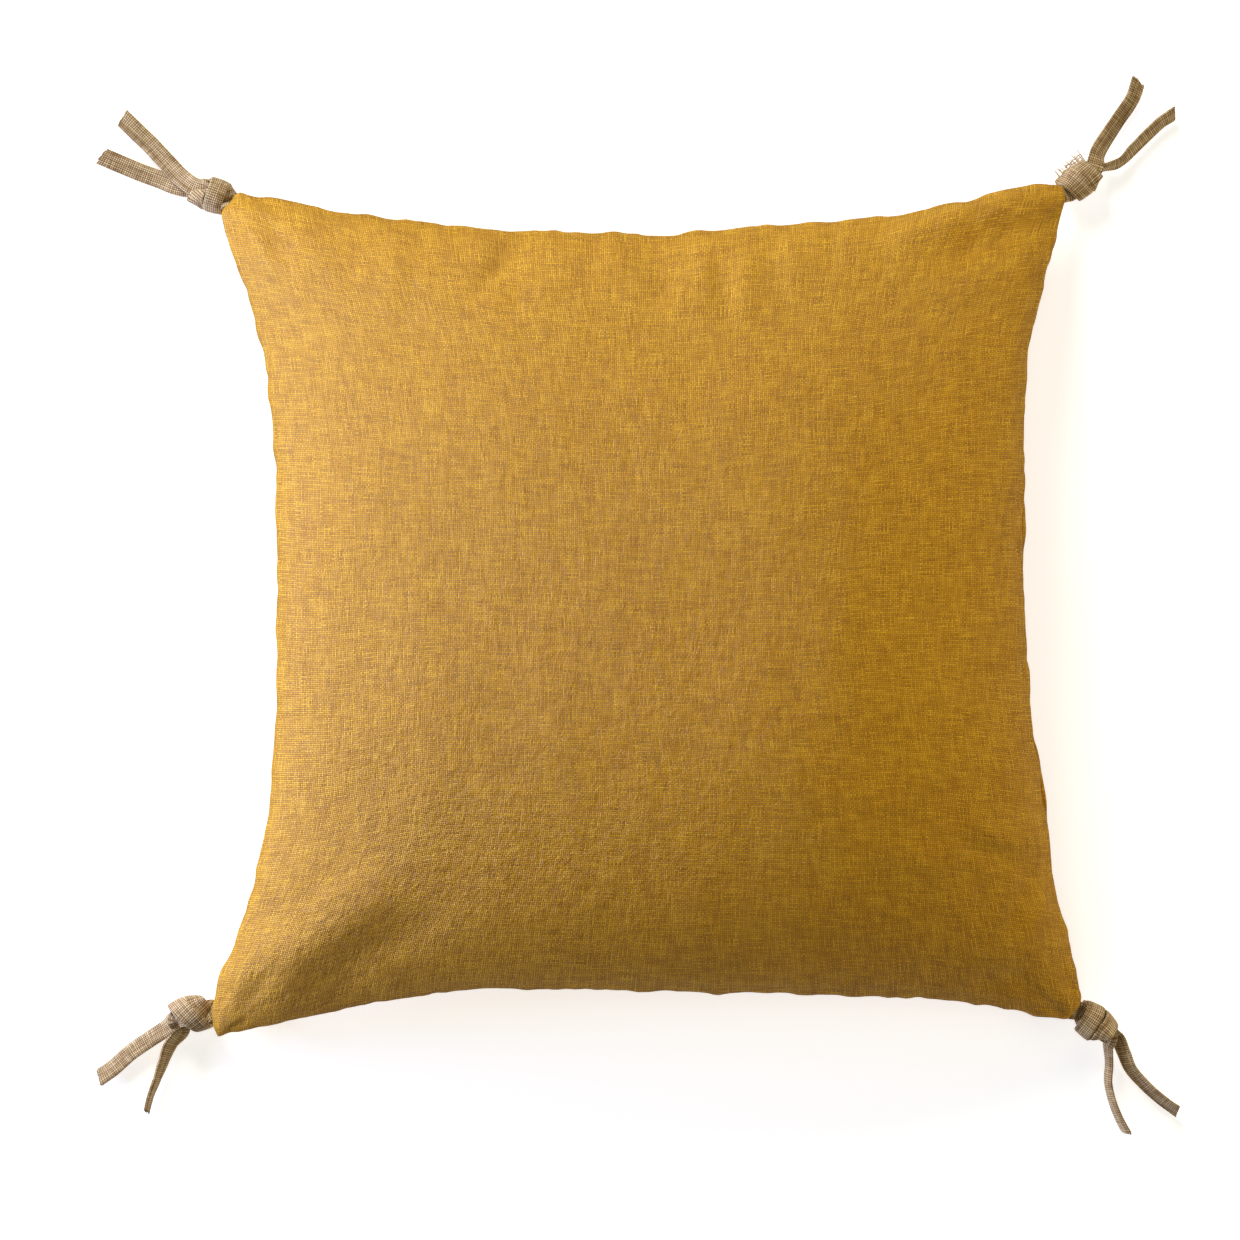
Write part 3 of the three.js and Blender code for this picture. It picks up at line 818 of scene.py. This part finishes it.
def add_cushion():
    """The cover as one closed mesh: laid out, filled, made finer, and then folded and crumpled."""
    u, v, side, seam, cells = cover_grid()
    shape = resting_shape(u, v, side)
    obj = mesh_object("linen_cover", shape, cells)
    layer = obj.data.uv_layers.new(name="cloth")
    loops = np.empty(len(obj.data.loops), int)
    obj.data.loops.foreach_get("vertex_index", loops)
    half = FLAT_SIDE / 2
    layer.data.foreach_set("uv", np.column_stack([u * half, v * half])[loops].ravel())
    cloth = obj.data.attributes.new("cloth_place", "FLOAT_VECTOR", "POINT")
    cloth.data.foreach_set("vector", np.column_stack([u, v, np.where(seam, 0, side)]).ravel())
    fill_cover(obj, u, v, seam)
    filled = vertices_of(obj)
    moved = filled - shape
    far = np.linalg.norm(moved, axis=1)[:, None]
    most = CLOTH["most_moved"]
    limited = shape + moved / np.maximum(far, 1e-9) * most * np.tanh(far / most)
    back = side < 0
    limited[back, 2] = settled(limited[back, 2])
    set_vertices(obj, limited)
    obj.modifiers.new("finer", "SUBSURF").levels = 1
    applied(obj)
    points = vertices_of(obj)
    places = np.empty(len(points) * 3)
    obj.data.attributes["cloth_place"].data.foreach_get("vector", places)
    u, v, side = places.reshape(-1, 3).T
    normals = np.empty(len(points) * 3)
    obj.data.vertex_normals.foreach_get("vector", normals)
    plan = points[:, :2].copy()
    points += normals.reshape(-1, 3) * surface_height(u, v, side, plan)[:, None]
    points += edge_shift(u, v, side, plan)
    points[:, 2] = np.maximum(points[:, 2], 0)
    set_vertices(obj, points)
    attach(obj, "root")
    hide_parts("cushion")
    return obj


cushion = add_cushion()


# Materials.
def linear(hex_colour):
    """An sRGB hex colour as the linear values that a shader takes."""
    parts = [int(hex_colour[i:i + 2], 16) / 255 for i in (1, 3, 5)]
    return tuple(p / 12.92 if p <= 0.04045 else ((p + 0.055) / 1.055) ** 2.4 for p in parts) + (1,)


def add(tree, kind, settings=None, inputs=None):
    """Adds a node: its own settings, then its inputs, each a value or the output of another node."""
    node = tree.nodes.new(kind)
    for name, value in (settings or {}).items():
        setattr(node, name, value)
    for place, value in (inputs or {}).items():
        if isinstance(value, bpy.types.NodeSocket):
            tree.links.new(value, node.inputs[place])
        else:
            node.inputs[place].default_value = value
    return node


def new_tree(name):
    material = bpy.data.materials.new(name)
    material.use_nodes = True
    material.node_tree.nodes.clear()
    return material, material.node_tree


def dress(obj, material):
    obj.data.materials.clear()
    obj.data.materials.append(material)


def shade(ramp, shades):
    """Sets a colour ramp's stops, each a place and an sRGB colour."""
    for place, colour in shades[1:-1]:
        ramp.elements.new(place)
    for element, (place, colour) in zip(ramp.elements, shades):
        element.position = place
        element.color = linear(colour)


# Linen threads lie 0.55 mm apart, too fine to show in the render, so they are drawn 1.1 mm apart. A slub is
# some 13 mm long, the finest crumple left by washing is 4.5 by 7 mm, and a worn patch is 11 mm across.
# A thread strays 5 mm at most from its line, over 70 mm. The tone of a bead of thread is its thread's own
# shade, with what a worn patch adds and a painted shade from the bead's roundness, darker in the gaps between
# beads and paler on their tops, set back to the middle of the shades. The shades of neighbours are read far
# apart in the noise, so they have nothing to do with each other.
LINEN = {
    "spacing": 0.0011,
    "slub": 0.013,
    "neighbours_apart": 7.31,
    "stray": 0.005,
    "stray_over": 1 / 14,
    "patch": 1 / 90,
    "patch_tone": 0.12,
    "painted_bead_shade": 0.42,
    "set_back": 0.331,
    "crumple": (0.0045, 0.0068),
    "crumple_depth": 0.0014,
    "thread_depth": 0.00022,
    "slub_relief": 1.2,
    "shades": ((0.24, "#9D6900"), (0.5, "#C78D00"), (0.78, "#EAB51E")),
}


def washed_linen():
    """Plain-woven linen, given its dye in the piece and washed. Its threads are uneven, so the eye finds pale
    slubs and darker threads along both ways of the weave; the darker lines in the gaps between the beads of
    thread are painted shade, and their paler tops a painted highlight. The pressed fibres give a broad pale
    gloss to the light."""
    material, tree = new_tree("washed_linen")
    times, times_plus = {"operation": "SCALE"}, {"operation": "MULTIPLY_ADD"}
    cloth = add(tree, "ShaderNodeUVMap", {"uv_map": "cloth"}).outputs[0]
    straying = {"Vector": cloth, "Scale": 1 / LINEN["stray_over"], "Detail": 1.0}
    drift = add(tree, "ShaderNodeTexNoise", {}, straying).outputs["Color"]
    strayed = {0: drift, 1: (LINEN["stray"], LINEN["stray"], 0), 2: cloth}
    wander = add(tree, "ShaderNodeVectorMath", times_plus, strayed).outputs[0]
    counting = {0: wander, "Scale": 1 / LINEN["spacing"]}
    threads = add(tree, "ShaderNodeVectorMath", times, counting).outputs[0]
    number = add(tree, "ShaderNodeVectorMath", {"operation": "FLOOR"}, {0: threads}).outputs[0]
    turn = add(tree, "ShaderNodeVectorMath", times, {0: threads, "Scale": math.pi}).outputs[0]
    wave = add(tree, "ShaderNodeVectorMath", {"operation": "SINE"}, {0: turn}).outputs[0]
    place = add(tree, "ShaderNodeSeparateXYZ", {}, {0: threads}).outputs
    which = add(tree, "ShaderNodeSeparateXYZ", {}, {0: number}).outputs
    rise = add(tree, "ShaderNodeSeparateXYZ", {}, {0: wave}).outputs

    # At each crossing the thread on top is a rounded bead; warp and weft take turns on top.
    crossing = add(tree, "ShaderNodeMath", {"operation": "MULTIPLY"}, {0: rise[0], 1: rise[1]}).outputs[0]
    warp_on_top = add(tree, "ShaderNodeMath", {"operation": "GREATER_THAN"}, {0: crossing, 1: 0.0}).outputs[0]
    rounded = add(tree, "ShaderNodeMath", {"operation": "ABSOLUTE"}, {0: crossing}).outputs[0]
    bead = add(tree, "ShaderNodeMath", {"operation": "SQRT"}, {0: rounded}).outputs[0]

    # Each thread has a shade of its own, which changes along it from slub to slub.
    slub = (LINEN["neighbours_apart"], LINEN["spacing"] / LINEN["slub"], 1)
    own = []
    for thread, along in ((which[0], place[1]), (which[1], place[0])):
        spot = add(tree, "ShaderNodeCombineXYZ", {}, {"X": thread, "Y": along}).outputs[0]
        slubs = add(tree, "ShaderNodeMapping", {}, {"Vector": spot, "Scale": slub}).outputs[0]
        shading = {"Vector": slubs, "Scale": 1.0, "Detail": 2.0}
        own.append(add(tree, "ShaderNodeTexNoise", {}, shading).outputs[0])
    thread_shade = add(tree, "ShaderNodeMix", {}, {"Factor": warp_on_top, 2: own[1], 3: own[0]}).outputs[0]
    wearing = {"Vector": cloth, "Scale": 1 / LINEN["patch"], "Detail": 3.0}
    worn = add(tree, "ShaderNodeTexNoise", {}, wearing).outputs[0]
    patches = {0: worn, 1: LINEN["patch_tone"], 2: thread_shade}
    patched = add(tree, "ShaderNodeMath", times_plus, patches).outputs[0]
    # The bead's roundness paints shade into the gaps between beads and a paler top on each.
    beads = {0: bead, 1: LINEN["painted_bead_shade"], 2: patched}
    tone = add(tree, "ShaderNodeMath", times_plus, beads).outputs[0]
    level = add(tree, "ShaderNodeMath", {"operation": "SUBTRACT"}, {0: tone, 1: LINEN["set_back"]}).outputs[0]
    dyed_with_painted_shade = add(tree, "ShaderNodeValToRGB", {}, {"Fac": level})
    shade(dyed_with_painted_shade.color_ramp, LINEN["shades"])

    # Crumples come first, and the threads lie over them.
    wide, long = LINEN["crumple"]
    stretched = add(tree, "ShaderNodeMapping", {}, {"Vector": cloth, "Scale": (1 / wide, 1 / long, 1)})
    crumpling = {"Vector": stretched.outputs[0], "Scale": 1.0, "Detail": 4.0, "Roughness": 0.66}
    crumple = add(tree, "ShaderNodeTexNoise", {}, crumpling).outputs[0]
    creasing = {"Height": crumple, "Distance": LINEN["crumple_depth"]}
    creased = add(tree, "ShaderNodeBump", {}, creasing).outputs[0]
    thickness = {0: thread_shade, 1: LINEN["slub_relief"], 2: bead}
    thick = add(tree, "ShaderNodeMath", times_plus, thickness).outputs[0]
    weaving = {"Height": thick, "Distance": LINEN["thread_depth"], "Normal": creased}
    woven = add(tree, "ShaderNodeBump", {}, weaving).outputs[0]
    pressed = {
        "Base Color": dyed_with_painted_shade.outputs[0],
        "Normal": woven,
        "Roughness": 0.5,
        "Specular IOR Level": 0.55,
        "Sheen Weight": 0.015,
        "Sheen Roughness": 0.35,
    }
    fibre = add(tree, "ShaderNodeBsdfPrincipled", {}, pressed).outputs[0]
    add(tree, "ShaderNodeOutputMaterial", {}, {"Surface": fibre})
    return material


# Jute is streaked along its threads: one way a streak is 14 mm long and 0.9 mm wide, the other way 11 mm
# long and 1.15 mm wide. Single fibres are 0.02 mm thick, over a tape's box of some 60 mm. The tone goes from
# painted shade in the gaps between the threads to a painted highlight on their tops, taken from the height of
# the relief.
JUTE = {
    "streaks": ((70, 1100, 0), (870, 90, 0)),
    "streak_tone": 0.7,
    "set_back": -0.1,
    "painted_relief_shade": 0.5,
    "box": 0.06,
    "fibre": 0.00002,
    "fibre_depth": 0.0001,
    "shades": ((0.27, "#6E5230"), (0.46, "#C2A478"), (0.63, "#ECD8B0")),
}


def jute_tape():
    """Undyed jute, woven into tape. Coarse dry threads from straw to bark brown, each its own shade,
    with shade painted into the gaps between them and their tops painted paler; nothing shines."""
    material, tree = new_tree("jute_tape")
    times_plus = {"operation": "MULTIPLY_ADD"}
    weave = add(tree, "ShaderNodeAttribute", {"attribute_name": "weave"}).outputs["Vector"]
    height = add(tree, "ShaderNodeSeparateXYZ", {}, {0: weave}).outputs[2]
    threads = []
    for scale in JUTE["streaks"]:
        drawn = add(tree, "ShaderNodeMapping", {}, {"Vector": weave, "Scale": scale}).outputs[0]
        shading = {"Vector": drawn, "Scale": 1.0, "Detail": 2.0}
        threads.append(add(tree, "ShaderNodeTexNoise", {}, shading).outputs[0])
    mean = add(tree, "ShaderNodeMix", {}, {"Factor": 0.5, 2: threads[0], 3: threads[1]}).outputs[0]
    streaks = {0: mean, 1: JUTE["streak_tone"], 2: JUTE["set_back"]}
    own = add(tree, "ShaderNodeMath", times_plus, streaks).outputs[0]
    # The height of each thread paints shade into the gaps and a highlight on the tops, over the real relief.
    heights = {0: height, 1: JUTE["painted_relief_shade"], 2: own}
    tone = add(tree, "ShaderNodeMath", times_plus, heights).outputs[0]
    natural_with_painted_shade = add(tree, "ShaderNodeValToRGB", {}, {"Fac": tone})
    shade(natural_with_painted_shade.color_ramp, JUTE["shades"])
    roughing = {"Scale": JUTE["box"] / JUTE["fibre"], "Detail": 1.0}
    fibres = add(tree, "ShaderNodeTexNoise", {}, roughing).outputs[0]
    hairs = {"Height": fibres, "Distance": JUTE["fibre_depth"]}
    hairy = add(tree, "ShaderNodeBump", {}, hairs).outputs[0]
    dry = {
        "Base Color": natural_with_painted_shade.outputs[0],
        "Normal": hairy,
        "Roughness": 0.92,
        "Specular IOR Level": 0.2,
        "Sheen Weight": 0.1,
        "Sheen Roughness": 0.5,
    }
    bast = add(tree, "ShaderNodeBsdfPrincipled", {}, dry).outputs[0]
    add(tree, "ShaderNodeOutputMaterial", {}, {"Surface": bast})
    return material


dress(cushion, washed_linen())
jute = jute_tape()
for obj in strands + [frayed]:
    dress(obj, jute)


# Floor, lights and air.
FLOOR = {"half": 3.0, "below": 0.0002, "colour": "#D8D8D6", "glow": 0.68}
AIR = {"colour": (1, 0.9, 0.75, 1), "strength": 0.05}
AIM = (0, 0, 0.06)
# Each lamp: the side it stands on and its height in degrees, how far off and how wide it is, its power,
# its colour, and whether it gives gloss. The windows do, and the two fills soften the shadows.
LAMPS = {
    "left_window": (180, 11, 1.8, 0.7, 25.3, (1, 1.15, 1.85), True),
    "top_window": (110, 33, 2.8, 1.1, 65, (1, 1, 0.95), True),
    "right_fill": (-7, 16, 1.7, 1.0, 9.5, (1, 0.9, 0.6), False),
    "overhead_fill": (0, 90, 2.1, 1.0, 7.5, (1, 0.93, 0.7), False),
}


def floor_paper():
    """White background paper, matt. It glows a little, so that it stays white to the picture's edge."""
    material, tree = new_tree("floor_paper")
    matt = {
        "Base Color": linear(FLOOR["colour"]),
        "Roughness": 0.9,
        "Emission Color": (1, 1, 1, 1),
        "Emission Strength": FLOOR["glow"],
    }
    paper = add(tree, "ShaderNodeBsdfPrincipled", {}, matt).outputs[0]
    add(tree, "ShaderNodeOutputMaterial", {}, {"Surface": paper})
    return material


def add_floor():
    half = FLOOR["half"]
    points = [(-half, -half, 0), (half, -half, 0), (half, half, 0), (-half, half, 0)]
    floor = mesh_object("floor", points, [(0, 1, 2, 3)])
    floor.location.z = -FLOOR["below"]
    dress(floor, floor_paper())
    floor.visible_glossy = False


def add_light(name, facing, height, far, size, power, colour, gloss):
    """A round soft lamp aimed at the cushion, from the side and the height that are given in degrees.
    A fill gives no gloss, so that the cloth's pale bloom faces the windows alone."""
    lamp = bpy.data.lights.new(name, "AREA")
    lamp.shape = "DISK"
    lamp.size = size
    lamp.energy = power
    lamp.color = colour
    away = Matrix.Rotation(math.radians(facing), 3, "Z") @ Matrix.Rotation(-math.radians(height), 3, "Y")
    way = away @ Vector((1, 0, 0))
    obj = link(bpy.data.objects.new(name, lamp))
    obj.location = way * far + Vector(AIM)
    obj.rotation_euler = (-way).to_track_quat("-Z", "Y").to_euler()
    obj.visible_glossy = gloss


def add_air():
    """A faint warm light from all sides, which gives no gloss."""
    world = bpy.data.worlds.new("air")
    bpy.context.scene.world = world
    world.use_nodes = True
    inputs = world.node_tree.nodes["Background"].inputs
    inputs["Color"].default_value = AIR["colour"]
    inputs["Strength"].default_value = AIR["strength"]
    world.cycles_visibility.glossy = False


add_floor()
for name, values in LAMPS.items():
    add_light(name, *values)
add_air()
bpy.context.scene.view_settings.view_transform = "Standard"
